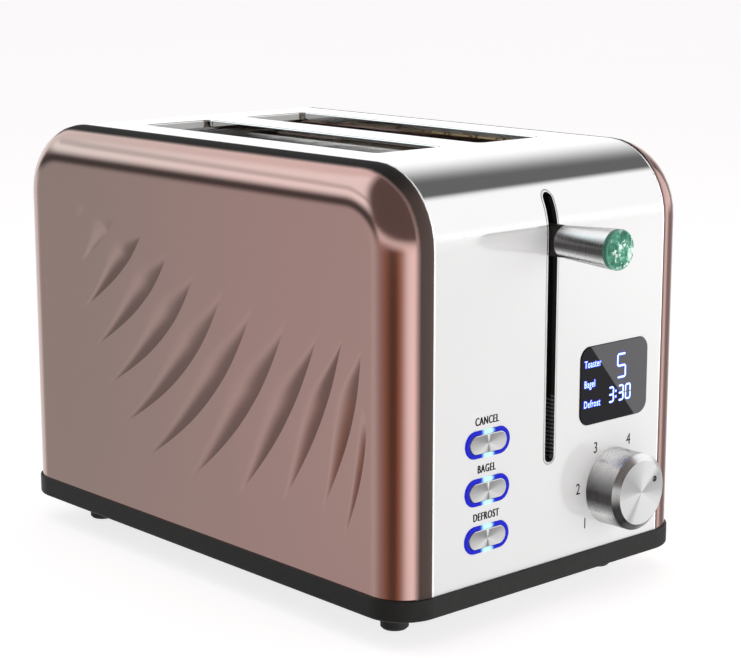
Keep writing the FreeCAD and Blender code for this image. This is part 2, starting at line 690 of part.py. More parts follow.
# ---- fasteners ----
def foot_screws():
    spots = [(sx * FOOT_X, sy * FOOT_Y) for sx in (-1, 1) for sy in (-1, 1)]
    return group([screw(x, y, 2.1, BASE_TOP - 5.0, 1.55) for x, y in spots])


def cover_screws():
    spots = [(sx * (HALF_W - 9), y) for sx in (-1, 1) for y in (-62, 62)]
    return group([screw(x, y, FOOT_HEIGHT + 0.3, BASE_TOP - FOOT_HEIGHT, 1.55) for x, y in spots])


def chassis_screws():
    """Screws down through the chassis floor into the posts of the base."""
    screws = []
    for x, y in chassis_posts():
        seat = PLATE_Z if y == 0 else PLATE_Z + PLATE
        screws.append(join([rod_z(2.4, seat, seat + 1.5, x, y), rod_z(1.2, FLOOR_TOP + 1, seat, x, y)]))
    return group(screws)


# ---- export ----
def sub_parts():
    right_cover = side_cover_right()
    parts = {
        "steel_wrap": steel_wrap(),
        "side_cover_left": mirrored(right_cover),
        "side_cover_right": right_cover,
        "base_tray": base_tray(),
        "cord_gland": cord_gland(),
        "crumb_tray": crumb_tray(),
        "crumb_tray_handle": crumb_tray_handle(),
        "chassis_floor": chassis_floor(),
        "front_plate": front_plate(),
        "rear_plate": rear_plate(),
        "top_plate": top_plate(),
        "heat_shields": heat_shields(),
        "carriage": carriage(),
        "keeper": keeper(),
        "lever_arm": lever_arm(),
        "lever_sleeve": lever_sleeve(),
        "lever_cap": lever_cap(),
        "lever_guide": lever_guide(),
        "guide_rod": guide_rod(),
        "top_bracket": top_bracket(),
        "lift_spring": lift_spring(),
        "magnet_bracket": magnet_bracket(),
        "magnet_core": magnet_core(),
        "magnet_coil": magnet_coil(),
        "display_lens": display_lens(),
        "display_frame": display_frame(),
        "display_module": display_module(),
        "control_board": control_board(),
        "control_chips": control_chips(),
        "rotary_encoder": rotary_encoder(),
        "knob_shaft": knob_shaft(),
        "browning_knob": browning_knob(),
        "button_frame": button_frame(),
        "button_board": button_board(),
        "key_switches": group([key_switch(z) for z in BUTTON_Z.values()]),
        "board_screws": board_screws(),
        "power_board": power_board(),
        "power_components": power_components(),
        "main_contacts": main_contacts(),
        "foot_screws": foot_screws(),
        "cover_screws": cover_screws(),
        "chassis_screws": chassis_screws(),
    }
    for end, y in (("front", -FOOT_Y), ("rear", FOOT_Y)):
        for side, x in (("left", -FOOT_X), ("right", FOOT_X)):
            parts[f"foot_{end}_{side}"] = foot(x, y)
    for name, z in BUTTON_Z.items():
        parts[f"light_ring_{name}"] = light_ring(z)
        parts[f"button_{name}"] = button_cap(z)
    heaters = {"left_outer": (-53.0, 1), "left_inner": (-5.0, -1), "right_inner": (5.0, 1), "right_outer": (53.0, -1)}
    parts["heater_boards"] = group([heater_board(x) for x, face in heaters.values()])
    parts["heater_windings"] = group([heater_winding(x, face) for x, face in heaters.values()])
    for side, mid in (("left", -SLOT_MID), ("right", SLOT_MID)):
        outward = -1 if mid < 0 else 1
        parts[f"bread_rack_{side}"] = bread_rack(mid)
        parts[f"bread_guard_{side}_outer"] = bread_guard(mid + outward * GUARD_OFFSET)
        parts[f"bread_guard_{side}_inner"] = bread_guard(mid - outward * GUARD_OFFSET)
    return parts


def main():
    os.makedirs("parts", exist_ok=True)
    for name, shape in sub_parts().items():
        shape.translate(Vector(0, -ORIGIN_Y, 0))
        if not shape.isValid():
            print("not valid:", name)
        shape.exportStep(f"parts/{name}.step")
        print(f"{name}: {len(shape.Solids)} solid(s), {shape.Volume / 1000:.2f} cm3")


main()
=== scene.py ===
import json
import math

import bmesh
import bpy
from mathutils import Matrix, Vector


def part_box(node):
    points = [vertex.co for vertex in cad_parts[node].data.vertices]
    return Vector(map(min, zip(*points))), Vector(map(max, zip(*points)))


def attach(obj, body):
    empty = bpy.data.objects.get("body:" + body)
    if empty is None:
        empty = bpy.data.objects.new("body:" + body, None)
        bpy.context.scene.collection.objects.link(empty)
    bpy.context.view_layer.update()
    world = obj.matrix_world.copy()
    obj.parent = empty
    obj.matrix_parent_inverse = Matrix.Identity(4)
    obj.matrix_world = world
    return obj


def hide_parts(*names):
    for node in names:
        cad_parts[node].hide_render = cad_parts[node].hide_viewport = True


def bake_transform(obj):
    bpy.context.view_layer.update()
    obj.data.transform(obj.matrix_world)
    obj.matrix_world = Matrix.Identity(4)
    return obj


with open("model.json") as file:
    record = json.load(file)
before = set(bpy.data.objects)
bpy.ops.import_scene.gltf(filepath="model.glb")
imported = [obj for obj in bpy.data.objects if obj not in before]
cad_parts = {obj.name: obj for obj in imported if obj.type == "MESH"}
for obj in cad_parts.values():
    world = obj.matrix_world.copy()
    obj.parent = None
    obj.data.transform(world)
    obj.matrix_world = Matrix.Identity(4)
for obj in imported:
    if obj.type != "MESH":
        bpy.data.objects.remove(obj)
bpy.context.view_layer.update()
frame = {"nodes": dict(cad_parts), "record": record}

MM = 0.001
WRAP_LOW, WRAP_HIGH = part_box("steel_wrap")
COVER_LOW, COVER_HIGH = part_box("side_cover_left")
LENS_LOW, LENS_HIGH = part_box("display_lens")
FRONT = WRAP_LOW.y  # the panel's face
MID_Y = (WRAP_LOW.y + WRAP_HIGH.y) / 2
BEND = 32 * MM  # side-view radius of the body's top bends
ROUND = 17 * MM  # rounded edge of a side cover
SHEET = 1 * MM  # thickness of a side cover
SEAM_X = -COVER_HIGH.x  # how far from the middle plane a cover's edge lies


def centre(node):
    low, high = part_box(node)
    return (low + high) / 2


# ---------------------------------------------------------------- node helpers
class Nodes:
    """A short way to build a node tree: inputs are set by name, or by number as i0, i1 and so on."""

    def __init__(self, tree):
        self.tree = tree
        self.tree.nodes.clear()

    def add(self, kind, props=None, **inputs):
        node = self.tree.nodes.new(kind)
        for key, value in (props or {}).items():
            setattr(node, key, value)
        for key, value in inputs.items():
            self.set(node, key.replace("_", " "), value)
        return node

    def set(self, node, key, value):
        names = {s.name.lower(): s for s in node.inputs if s.enabled}
        socket = node.inputs[int(key[1:])] if key[:1] == "i" and key[1:].isdigit() else names[key.lower()]
        if isinstance(value, bpy.types.NodeSocket):
            self.tree.links.new(value, socket)
        else:
            socket.default_value = value

    def math(self, operation, a, b=0.0):
        return self.add("ShaderNodeMath", {"operation": operation}, i0=a, i1=b).outputs[0]

    def smooth(self, value, low, high, out_low=0.0, out_high=1.0):
        """Smooth step of value between low and high, mapped to out_low and out_high."""
        props = {"interpolation_type": "SMOOTHSTEP"}
        node = self.add("ShaderNodeMapRange", props, i0=value, i1=low, i2=high, i3=out_low, i4=out_high)
        return node.outputs[0]

    def mix(self, factor, a, b):
        """Colour a where factor is 0, colour b where it is 1."""
        node = self.add("ShaderNodeMix", {"data_type": "RGBA"})
        for index, value in ((0, factor), (6, a), (7, b)):
            if isinstance(value, bpy.types.NodeSocket):
                self.tree.links.new(value, node.inputs[index])
            else:
                node.inputs[index].default_value = value
        return node.outputs[2]

    def tint(self, factor, colour, filter_colour):
        """A linked colour seen through a filter, as far as the linked factor says."""
        node = self.add("ShaderNodeMix", {"data_type": "RGBA", "blend_type": "MULTIPLY"})
        node.inputs[7].default_value = filter_colour
        self.tree.links.new(factor, node.inputs[0])
        self.tree.links.new(colour, node.inputs[6])
        return node.outputs[2]

    def position(self):
        """X, Y and Z in the object's own space, which is the row frame."""
        coordinate = self.add("ShaderNodeTexCoord")
        split = self.add("ShaderNodeSeparateXYZ", i0=coordinate.outputs["Object"])
        return coordinate.outputs["Object"], split.outputs

    def ramp(self, value, stops):
        """Grey ramp over one turn: stops are (degrees, brightness), and the ends meet."""
        node = self.add("ShaderNodeValToRGB", i0=value)
        elements = node.color_ramp.elements
        elements.remove(elements[1])
        elements[0].position = 0.0
        closing = stops + ((360, stops[0][1]),)
        for k, (degrees, level) in enumerate(closing):
            element = elements[0] if k == 0 else elements.new(degrees / 360)
            element.color = grey(level)
        return node.outputs[0]

    def noise(self, scale, detail=2.0, stretch=(1, 1, 1), roughness=0.5):
        coordinate = self.add("ShaderNodeTexCoord")
        mapping = self.add("ShaderNodeMapping", i0=coordinate.outputs["Object"])
        mapping.inputs["Scale"].default_value = stretch
        node = self.add("ShaderNodeTexNoise", Scale=scale, Detail=detail, Roughness=roughness)
        self.tree.links.new(mapping.outputs[0], node.inputs["Vector"])
        return node.outputs[0]

    def bump(self, height, strength, distance):
        return self.add("ShaderNodeBump", Height=height, Strength=strength, Distance=distance).outputs[0]


def rgb(r, g, b):
    """An 8-bit sRGB colour as linear RGBA."""

    def linear(c):
        c = c / 255
        return c / 12.92 if c <= 0.04045 else ((c + 0.055) / 1.055) ** 2.4

    return (linear(r), linear(g), linear(b), 1.0)


def grey(value):
    return (value, value, value, 1.0)


def cool(value):
    """A grey that is slightly green-blue."""
    return (value * 0.97, value * 1.08, value * 1.10, 1.0)


def new_material(name):
    """A material, its node helper and its Principled shader."""
    material = bpy.data.materials.new(name)
    material.use_nodes = True
    nodes = Nodes(material.node_tree)
    shader = nodes.add("ShaderNodeBsdfPrincipled")
    out = nodes.add("ShaderNodeOutputMaterial")
    nodes.tree.links.new(shader.outputs[0], out.inputs[0])
    return material, nodes, shader


# ---------------------------------------------------------------- materials
def polished_steel():
    """Mirror steel on the bends and the top; satin under a clear film on the upright flats."""
    material, n, shader = new_material("polished_steel")
    facing = n.add("ShaderNodeSeparateXYZ", i0=n.add("ShaderNodeTexCoord").outputs["Normal"]).outputs[1]
    flat = n.smooth(n.math("ABSOLUTE", facing), 0.985, 0.999)
    haze = n.noise(40, 3)
    n.set(shader, "Base Color", n.mix(flat, grey(0.88), grey(0.57)))
    n.set(shader, "Metallic", n.math("SUBTRACT", 1.0, n.math("MULTIPLY", flat, 0.84)))
    polish = n.smooth(haze, 0.3, 0.8, 0.04, 0.07)
    n.set(shader, "Roughness", n.math("ADD", polish, n.math("MULTIPLY", flat, 0.05)))
    n.set(shader, "Specular IOR Level", 0.5)
    return material


def copper_paint():
    """Metallic paint with fine flakes, with painted shade: lighter and redder at the front, darker at the
    back, and a dark band next to the steel wrap that stands in for a dark reflection.
    """
    material, n, shader = new_material("copper_paint")
    _, axis = n.position()
    flakes = n.noise(5200, 2)
    cloud = n.noise(9, 2)
    # painted shade: the flat is lighter and redder at the front and darker towards the back
    painted_back_shade = n.smooth(axis[1], WRAP_LOW.y + 30 * MM, WRAP_HIGH.y)
    base = n.mix(painted_back_shade, rgb(198, 161, 155), rgb(184, 161, 154))
    base = n.mix(n.smooth(cloud, 0.35, 0.7, 0, 0.12), base, rgb(212, 168, 158))
    base = n.mix(n.smooth(flakes, 0.3, 0.75, 0, 0.2), base, rgb(222, 186, 178))
    # painted shade: a dark, rough band that is not metallic stands in for the dark reflection in the
    # rounded edge next to the wrap; it is narrower on the right cover and wider and darker along the top
    reach = n.math("ABSOLUTE", axis[0])
    right = n.smooth(axis[0], 0.0, 1 * MM, 0, 5.5 * MM)
    upper = n.smooth(axis[2], WRAP_HIGH.z - 14 * MM, WRAP_HIGH.z - 3 * MM)
    reach = n.math("SUBTRACT", n.math("ADD", reach, right), n.math("MULTIPLY", upper, 1.2 * MM))
    rim = n.smooth(reach, SEAM_X + 5.6 * MM, SEAM_X + 8.0 * MM, 1, 0)
    base = n.mix(rim, base, n.mix(upper, rgb(66, 54, 50), rgb(30, 28, 27)))
    n.set(shader, "Base Color", base)
    n.set(shader, "Metallic", n.math("MULTIPLY", n.math("SUBTRACT", 1.0, rim), 0.98))
    polish = n.smooth(flakes, 0.2, 0.8, 0.11, 0.16)
    n.set(shader, "Roughness", n.math("ADD", polish, n.math("MULTIPLY", rim, 0.65)))
    n.set(shader, "Specular IOR Level", 0.3)
    n.set(shader, "Normal", n.bump(flakes, 0.05, 0.00002))
    return material


def black_plastic():
    material, n, shader = new_material("black_plastic")
    grain = n.noise(1500, 3)
    n.set(shader, "Base Color", n.mix(n.noise(300, 2), rgb(25, 25, 25), rgb(34, 34, 33)))
    n.set(shader, "Roughness", n.smooth(grain, 0.3, 0.7, 0.45, 0.6))
    n.set(shader, "Specular IOR Level", 0.3)
    n.set(shader, "Normal", n.bump(grain, 0.25, 0.00006))
    return material


def bright_edge():
    """Cut edge of the steel sheet with a painted highlight: a bright, mostly diffuse grey instead of
    mirror steel.
    """
    material, n, shader = new_material("bright_edge")
    n.set(shader, "Base Color", n.mix(n.noise(200, 2), grey(0.80), grey(0.88)))
    n.set(shader, "Metallic", 0.2)
    n.set(shader, "Roughness", 0.35)
    return material


def rib_plastic():
    # painted highlight: the ribs are mid grey so they read as lit edges on the black guide
    material, n, shader = new_material("rib_plastic")
    grain = n.noise(1500, 3)
    n.set(shader, "Base Color", n.mix(grain, rgb(84, 84, 84), rgb(108, 108, 106)))
    n.set(shader, "Roughness", 0.35)
    return material


def foot_rubber():
    material, n, shader = new_material("foot_rubber")
    grain = n.noise(900, 3)
    n.set(shader, "Base Color", n.mix(grain, rgb(28, 28, 28), rgb(40, 40, 40)))
    n.set(shader, "Roughness", 0.75)
    n.set(shader, "Normal", n.bump(grain, 0.3, 0.0001))
    return material


def sheet_metal():
    """Galvanised sheet: flat spangles a few millimetres across."""
    material, n, shader = new_material("galvanised_sheet")
    place, _ = n.position()
    cells = n.add("ShaderNodeTexVoronoi", Scale=160.0)
    n.tree.links.new(place, cells.inputs["Vector"])
    spangle = n.add("ShaderNodeSeparateXYZ", i0=cells.outputs["Color"]).outputs[0]
    n.set(shader, "Base Color", n.mix(spangle, grey(0.42), grey(0.62)))
    n.set(shader, "Metallic", 1.0)
    n.set(shader, "Roughness", n.smooth(spangle, 0, 1, 0.28, 0.42))
    return material


def wire_metal(name, low, high, roughness):
    material, n, shader = new_material(name)
    streak = n.noise(260, 3)
    n.set(shader, "Base Color", n.mix(streak, grey(low), grey(high)))
    n.set(shader, "Metallic", 1.0)
    n.set(shader, "Roughness", n.smooth(streak, 0.3, 0.7, roughness - 0.05, roughness + 0.05))
    return material


def around(n, node):
    """Angle round the Y axis through a node's middle, 0 to 1 from +X through +Z, for spun faces."""
    _, axis = n.position()
    middle = centre(node)
    dx = n.math("SUBTRACT", axis[0], middle.x)
    dz = n.math("SUBTRACT", axis[2], middle.z)
    turn = n.math("DIVIDE", n.math("ARCTAN2", dz, dx), 2 * math.pi)
    return n.math("FRACT", n.math("ADD", turn, 1.0))


def spun_metal(name, node, face_painted_sheen, side_painted_sheen=None):
    """Metal turned about the Y axis, with painted sheen: the wedges of its front face and the bands of its
    side and bevel are painted highlights and painted shade in the base colour, set by angle round the
    axis.

    face_painted_sheen and side_painted_sheen are (degrees from +X through +Z, brightness) stops of that
    painted sheen.
    """
    material, n, shader = new_material(name)
    turn = around(n, node)
    facing = n.add("ShaderNodeSeparateXYZ", i0=n.add("ShaderNodeTexCoord").outputs["Normal"]).outputs[1]
    face = n.smooth(facing, -0.995, -0.97, 1, 0)
    # painted sheen: bright and dark wedges on the face, in the base colour
    face_sheen_paint = n.ramp(turn, face_painted_sheen)
    side = n.ramp(turn, side_painted_sheen) if side_painted_sheen else grey(0.86)
    base = n.mix(face, side, face_sheen_paint)
    # painted sheen: bright and dark bands on the narrow bevel between side and face
    bevel = n.math("MULTIPLY", n.smooth(facing, -0.95, -0.88), n.smooth(facing, -0.3, -0.5))
    base = n.mix(bevel, base, n.ramp(turn, BEVEL_PAINTED_SHEEN))
    grooves = n.noise(30, 2, stretch=(1, 160, 1))
    base = n.mix(n.smooth(grooves, 0.3, 0.7, 0, 0.06), base, rgb(205, 198, 196))
    n.set(shader, "Base Color", base)
    n.set(shader, "Metallic", 1.0)
    n.set(shader, "Roughness", n.smooth(grooves, 0.3, 0.7, 0.24, 0.3))
    n.set(shader, "Anisotropic", 0.6)
    n.set(shader, "Anisotropic Rotation", 0.25)
    tangent = n.add("ShaderNodeTangent", {"direction_type": "RADIAL", "axis": "Y"})
    n.set(shader, "Tangent", tangent.outputs[0])
    return material


# Painted sheen round the middle of a turned part, as (degrees from +X through +Z, brightness): painted
# highlights and painted shade for the narrow bevel between side and face, the side, a button's cap and the
# knob's face.
BEVEL_PAINTED_SHEEN = (
    (0, 0.80),
    (60, 0.95),
    (125, 0.90),
    (165, 0.50),
    (198, 0.10),
    (240, 0.08),
    (262, 0.35),
    (300, 0.80),
)
SIDE_PAINTED_SHEEN = (
    (0, 0.55),
    (60, 0.45),
    (85, 0.42),
    (98, 0.70),
    (112, 1.0),
    (134, 0.85),
    (150, 0.50),
    (164, 0.22),
    (178, 0.06),
    (190, 0.07),
    (200, 0.32),
    (212, 0.95),
    (226, 0.75),
    (240, 0.38),
    (256, 0.12),
    (300, 0.5),
)
CAP_PAINTED_SHEEN = (
    (0, 0.80),
    (22, 0.42),
    (60, 0.30),
    (78, 0.45),
    (84, 1.0),
    (96, 1.0),
    (102, 0.40),
    (125, 0.30),
    (158, 0.42),
    (180, 0.66),
    (215, 0.84),
    (250, 0.62),
    (262, 0.28),
    (278, 0.28),
    (290, 0.70),
    (330, 0.92),
)
KNOB_PAINTED_SHEEN = (
    (0, 0.62),
    (30, 0.50),
    (48, 0.86),
    (75, 0.80),
    (100, 0.66),
    (140, 0.52),
    (165, 0.60),
    (190, 0.92),
    (222, 0.80),
    (236, 0.50),
    (250, 0.78),
    (285, 0.86),
    (320, 0.95),
    (340, 0.86),
)


def green_glass():
    """Clouded green stone-like glass: dark and pale clouds, white veins, a pale rim, dark inclusions."""
    material, n, shader = new_material("green_glass")
    _, axis = n.position()
    middle = centre("lever_cap")
    dx = n.math("SUBTRACT", axis[0], middle.x)
    dz = n.math("SUBTRACT", axis[2], middle.z)
    radius = n.math("SQRT", n.math("ADD", n.math("MULTIPLY", dx, dx), n.math("MULTIPLY", dz, dz)))
    clouds = n.noise(130, 5, roughness=0.6)
    veins = n.noise(300, 5, roughness=0.75)
    colour = n.mix(n.smooth(clouds, 0.36, 0.62), rgb(12, 78, 58), rgb(66, 140, 114))
    colour = n.mix(n.smooth(clouds, 0.52, 0.60, 0, 0.85), colour, rgb(205, 222, 214))
    colour = n.mix(n.smooth(veins, 0.55, 0.64, 0, 0.8), colour, rgb(214, 232, 224))
    colour = n.mix(n.smooth(veins, 0.39, 0.33), colour, rgb(8, 44, 34))
    colour = n.mix(n.smooth(radius, 7.3 * MM, 7.9 * MM, 0, 0.5), colour, rgb(120, 180, 158))
    side = n.smooth(axis[1], middle.y - 0.8 * MM, middle.y - 0.2 * MM, 0, 0.75)
    colour = n.mix(side, colour, rgb(22, 96, 72))
    n.set(shader, "Base Color", colour)
    n.set(shader, "Roughness", 0.15)
    n.set(shader, "Specular IOR Level", 0.3)
    n.set(shader, "Normal", n.bump(veins, 0.35, 0.0003))
    return material


def display_glass():
    """Dark polished lens with a painted reflection: its upper right part, past a straight diagonal, is
    paler.
    """
    material, n, shader = new_material("display_glass")
    _, axis = n.position()
    across = n.math("DIVIDE", n.math("SUBTRACT", axis[0], LENS_LOW.x), LENS_HIGH.x - LENS_LOW.x)
    up = n.math("DIVIDE", n.math("SUBTRACT", axis[2], LENS_LOW.z), LENS_HIGH.z - LENS_LOW.z)
    # painted reflection: the lens is paler past this line
    diagonal = n.math("ADD", n.math("MULTIPLY", across, 1.48), up)
    pale = n.smooth(diagonal, 1.20, 1.215)
    n.set(shader, "Base Color", n.mix(pale, rgb(24, 24, 27), rgb(78, 78, 80)))
    n.set(shader, "Roughness", 0.12)
    n.set(shader, "Specular IOR Level", 0.08)
    return material


def display_face():
    material, n, shader = new_material("display_module")
    n.set(shader, "Base Color", n.mix(n.noise(500, 2), rgb(14, 16, 22), rgb(24, 26, 34)))
    n.set(shader, "Roughness", 0.3)
    return material


def glow(name, colour, strength):
    material, n, shader = new_material(name)
    shimmer = n.noise(700, 1)
    n.set(shader, "Base Color", colour)
    n.set(shader, "Roughness", 0.4)
    n.set(shader, "Emission Color", n.mix(shimmer, colour, tuple(min(1, c * 1.12) for c in colour)))
    n.set(shader, "Emission Strength", strength)
    return material


def ring_light():
    """Blue light guide with a pale hot spot at the middle of its top and bottom."""
    material, n, shader = new_material("blue_light_guide")
    _, axis = n.position()
    middle = centre("light_ring_cancel").x
    away = n.math("ABSOLUTE", n.math("SUBTRACT", axis[0], middle))
    spot = n.smooth(away, 1.2 * MM, 4.2 * MM, 1, 0)
    n.set(shader, "Base Color", n.mix(spot, rgb(10, 14, 90), rgb(120, 170, 190)))
    n.set(shader, "Roughness", 0.35)
    n.set(shader, "Specular IOR Level", 0.15)
    n.set(shader, "Emission Color", n.mix(spot, rgb(14, 22, 196), rgb(190, 250, 255)))
    n.set(shader, "Emission Strength", 0.8)
    return material


def print_ink():
    material, n, shader = new_material("print_ink")
    n.set(shader, "Base Color", n.mix(n.noise(900, 2), rgb(10, 10, 10), rgb(20, 20, 20)))
    n.set(shader, "Roughness", 0.6)
    n.set(shader, "Specular IOR Level", 0.1)
    return material


def circuit_board():
    material, n, shader = new_material("circuit_board")
    weave = n.noise(2500, 2)
    n.set(shader, "Base Color", n.mix(weave, rgb(10, 72, 40), rgb(22, 96, 56)))
    n.set(shader, "Roughness", 0.35)
    n.set(shader, "Normal", n.bump(weave, 0.1, 0.00005))
    return material


def moulded_parts():
    material, n, shader = new_material("electronic_parts")
    grain = n.noise(1800, 2)
    n.set(shader, "Base Color", n.mix(grain, rgb(28, 28, 30), rgb(44, 44, 46)))
    n.set(shader, "Roughness", 0.5)
    return material


def mica():
    material, n, shader = new_material("mica")
    layers = n.noise(35, 6, roughness=0.7)
    n.set(shader, "Base Color", n.mix(n.smooth(layers, 0.3, 0.7), rgb(186, 160, 118), rgb(214, 198, 162)))
    n.set(shader, "Roughness", n.smooth(layers, 0.3, 0.7, 0.25, 0.5))
    n.set(shader, "Sheen Weight", 0.2)
    return material


def enamel_wire():
    material, n, shader = new_material("copper_coil")
    turns = n.noise(90, 1, stretch=(1, 1, 30))
    n.set(shader, "Base Color", n.mix(turns, rgb(150, 74, 34), rgb(196, 108, 58)))
    n.set(shader, "Metallic", 0.9)
    n.set(shader, "Roughness", 0.3)
    n.set(shader, "Normal", n.bump(turns, 0.5, 0.0002))
    return material


SLOT_MATERIALS = {
    "polished_steel": polished_steel(),
    "copper_paint": copper_paint(),
    "black_plastic": black_plastic(),
    "foot_rubber": foot_rubber(),
    "galvanised_sheet": sheet_metal(),
    "bright_wire": wire_metal("bright_wire", 0.55, 0.75, 0.22),
    "brushed_metal": spun_metal("brushed_metal", "lever_sleeve", SIDE_PAINTED_SHEEN, SIDE_PAINTED_SHEEN),
    "turned_metal": spun_metal("turned_metal", "browning_knob", KNOB_PAINTED_SHEEN, SIDE_PAINTED_SHEEN),
    "green_glass": green_glass(),
    "display_glass": display_glass(),
    "display_module": display_face(),
    "blue_light_guide": ring_light(),
    "circuit_board": circuit_board(),
    "electronic_parts": moulded_parts(),
    "mica": mica(),
    "resistance_ribbon": wire_metal("resistance_ribbon", 0.16, 0.26, 0.45),
    "magnet_iron": wire_metal("magnet_iron", 0.3, 0.4, 0.4),
    "copper_coil": enamel_wire(),
    "spring_steel": wire_metal("spring_steel", 0.6, 0.75, 0.18),
}


def dress_cad_nodes():
    slots = {row["node"]: row["material_slot"] for row in frame["record"]["subparts"]}
    for name, piece in frame["nodes"].items():
        piece.data.materials.clear()
        piece.data.materials.append(SLOT_MATERIALS[slots[name]])
        for polygon in piece.data.polygons:
            polygon.material_index = 0
    for name in ("cancel", "bagel", "defrost"):
        cap = f"button_{name}"
        # each button cap gets its own painted sheen
        frame["nodes"][cap].data.materials[0] = spun_metal(f"{cap}_metal", cap, CAP_PAINTED_SHEEN)


# ---------------------------------------------------------------- piece helpers
def join_rows(bm, a, b, closed=False):
    """Faces between two rows of vertices; a closed row's last vertex also meets its first."""
    for k in range(len(a) if closed else len(a) - 1):
        j = (k + 1) % len(a)
        bm.faces.new((a[k], a[j], b[j], b[k]))


def piece_from(name, bm, material, sharp_degrees=35):
    """Turns a bmesh into a linked object with smooth faces, outward normals and sharp corners."""
    bmesh.ops.recalc_face_normals(bm, faces=bm.faces)
    mesh = bpy.data.meshes.new(name)
    bm.to_mesh(mesh)
    bm.free()
    piece = bpy.data.objects.new(name, mesh)
    bpy.context.scene.collection.objects.link(piece)
    mesh.materials.append(material)
    mesh.shade_smooth()
    mesh.set_sharp_from_angle(angle=math.radians(sharp_degrees))
    return piece


# ---------------------------------------------------------------- side covers
# Each ridge of a cover is an arc through a top, a middle and a bottom point, (y, z) in millimetres
# about the middle of the body. The arcs between these given ones are worked out.
RIDGE_ARCS = {
    -1.4: ((100, 166), (104, 163), (108, 160)),
    0: ((74, 161), (79, 155), (87, 149.5)),
    2: ((34, 150), (52, 131), (83, 108)),
    4: ((-4, 138), (22, 105), (66, 75)),
    6: ((-44, 130), (-12, 84), (38, 46)),
    8: ((-85, 124), (-62, 82), (-30, 43)),
    10: ((-110, 121), (-103, 88), (-86, 49)),
    11.4: ((-114, 88), (-112, 62), (-103, 36)),
}
RIDGES = 12
RIDGE_DEPTH = 2.9 * MM
RIDGE_FADE = {0: 0.1, 1: 0.5, 11: 0.5}  # depth share of the outer ridges; the others have it all
RIDGE_ROWS = 56  # steps along a ridge
RETURN_SHARE = 0.07  # share of a ridge's width taken by its steep edge
LIP_SHARE = 0.0015  # what is left of that edge at a ridge's ends
FLAT_SHARE = 0.26  # share of the width that stays flat at a ridge's middle
END_FLAT_SHARE = 0.95  # and at its ends
DEPTH_TAPER = (0.40, 0.50)  # shares of a ridge's length over which the depth grows from its two ends
WIDTH_TAPER = (0.40, 0.78)  # and the width
SPARE_SHARES = {-1: 0.7, RIDGES: 0.3}  # where the spare columns beside the patch stand


def blend_keys(u, corner):
    """Point number corner of the arc at u, from a Catmull-Rom curve through the listed arcs."""
    keys = sorted(RIDGE_ARCS)
    i = max(k for k in range(len(keys) - 1) if keys[k] <= u or k == 0)
    at = [keys[min(max(i + d, 0), len(keys) - 1)] for d in (-1, 0, 1, 2)]
    p = [Vector(RIDGE_ARCS[k][corner]) for k in at]
    span = at[2] - at[1]
    t = (u - at[1]) / span
    m1 = (p[2] - p[0]) / (at[2] - at[0]) * span if at[2] != at[0] else p[2] - p[1]
    m2 = (p[3] - p[1]) / (at[3] - at[1]) * span if at[3] != at[1] else p[2] - p[1]
    h = (2 * t**3 - 3 * t**2 + 1, t**3 - 2 * t**2 + t, -2 * t**3 + 3 * t**2, t**3 - t**2)
    return h[0] * p[1] + h[1] * m1 + h[2] * p[2] + h[3] * m2


def smoothstep(t):
    t = min(max(t, 0.0), 1.0)
    return t * t * (3 - 2 * t)


def ridge_point(u, v):
    """Point (y, z) in metres at share v, from top to bottom, of the arc at u."""
    top, middle, bottom = (blend_keys(u, corner) for corner in range(3))
    control = 2 * middle - (top + bottom) / 2
    at = (1 - v) ** 2 * top + 2 * v * (1 - v) * control + v**2 * bottom
    return Vector((at.x * MM + MID_Y, at.y * MM))


def ridge_taper(v, upper, lower):
    """From none at an arc's two ends to one within these shares of its length."""
    return smoothstep(v / upper) * smoothstep((1 - v) / lower)


# Steps across a ridge's slope, from where it leaves the flat (0) to its crease (1). None is the lip
# where the steep edge of the ridge before ends.
SLOPE_STEPS = (None, 0.0, 0.12, 0.24, 0.36, 0.48, 0.6, 0.7, 0.8, 0.88, 0.95, 1.0)


def ridge_columns():
    """(ridge, step) pairs over the whole patch, with a spare column at each side."""
    columns = [(-1, 1.0)]
    for ridge in range(RIDGES):
        columns += [(ridge, step) for step in SLOPE_STEPS]
    return columns + [(RIDGES, None), (RIDGES, 0.0)]


def ridge_vertex(ridge, step, v):
    """Place on the flat and depth: a slope that deepens to a crease, then a steep step back out."""
    strength = ridge_taper(v, *DEPTH_TAPER)
    if step is None:
        share = RETURN_SHARE * strength * RIDGE_FADE.get(ridge - 1, 1.0) + LIP_SHARE
        return ridge_point(ridge - 1 + share, v), 0.0
    if ridge in SPARE_SHARES:
        return ridge_point(ridge - 1 + SPARE_SHARES[ridge], v), 0.0
    flat_share = END_FLAT_SHARE - (END_FLAT_SHARE - FLAT_SHARE) * ridge_taper(v, *WIDTH_TAPER) ** 0.75
    share = flat_share + (1 - flat_share) * step
    depth = RIDGE_DEPTH * RIDGE_FADE.get(ridge, 1.0) * step**2.1 * strength
    return ridge_point(ridge - 1 + share, v), depth


def body_outline(inset):
    """The body's side profile moved inwards, from its front lower corner over the top to the back."""
    steps = 10
    low = WRAP_LOW.z
    half = (WRAP_HIGH.y - WRAP_LOW.y) / 2 - inset
    top = WRAP_HIGH.z - inset
    r = BEND - inset
    points = [Vector((MID_Y - half, low + (top - r - low) * k / 6)) for k in range(6)]
    for k in range(steps + 1):
        a = math.pi - math.pi / 2 * k / steps
        points.append(Vector((MID_Y - half + r + r * math.cos(a), top - r + r * math.sin(a))))
    for k in range(1, 10):
        points.append(Vector((MID_Y - half + r + (2 * half - 2 * r) * k / 10, top)))
    for k in range(steps + 1):
        a = math.pi / 2 * (1 - k / steps)
        points.append(Vector((MID_Y + half - r + r * math.cos(a), top - r + r * math.sin(a))))
    points += [Vector((MID_Y + half, top - r - (top - r - low) * k / 6)) for k in range(1, 7)]
    return points


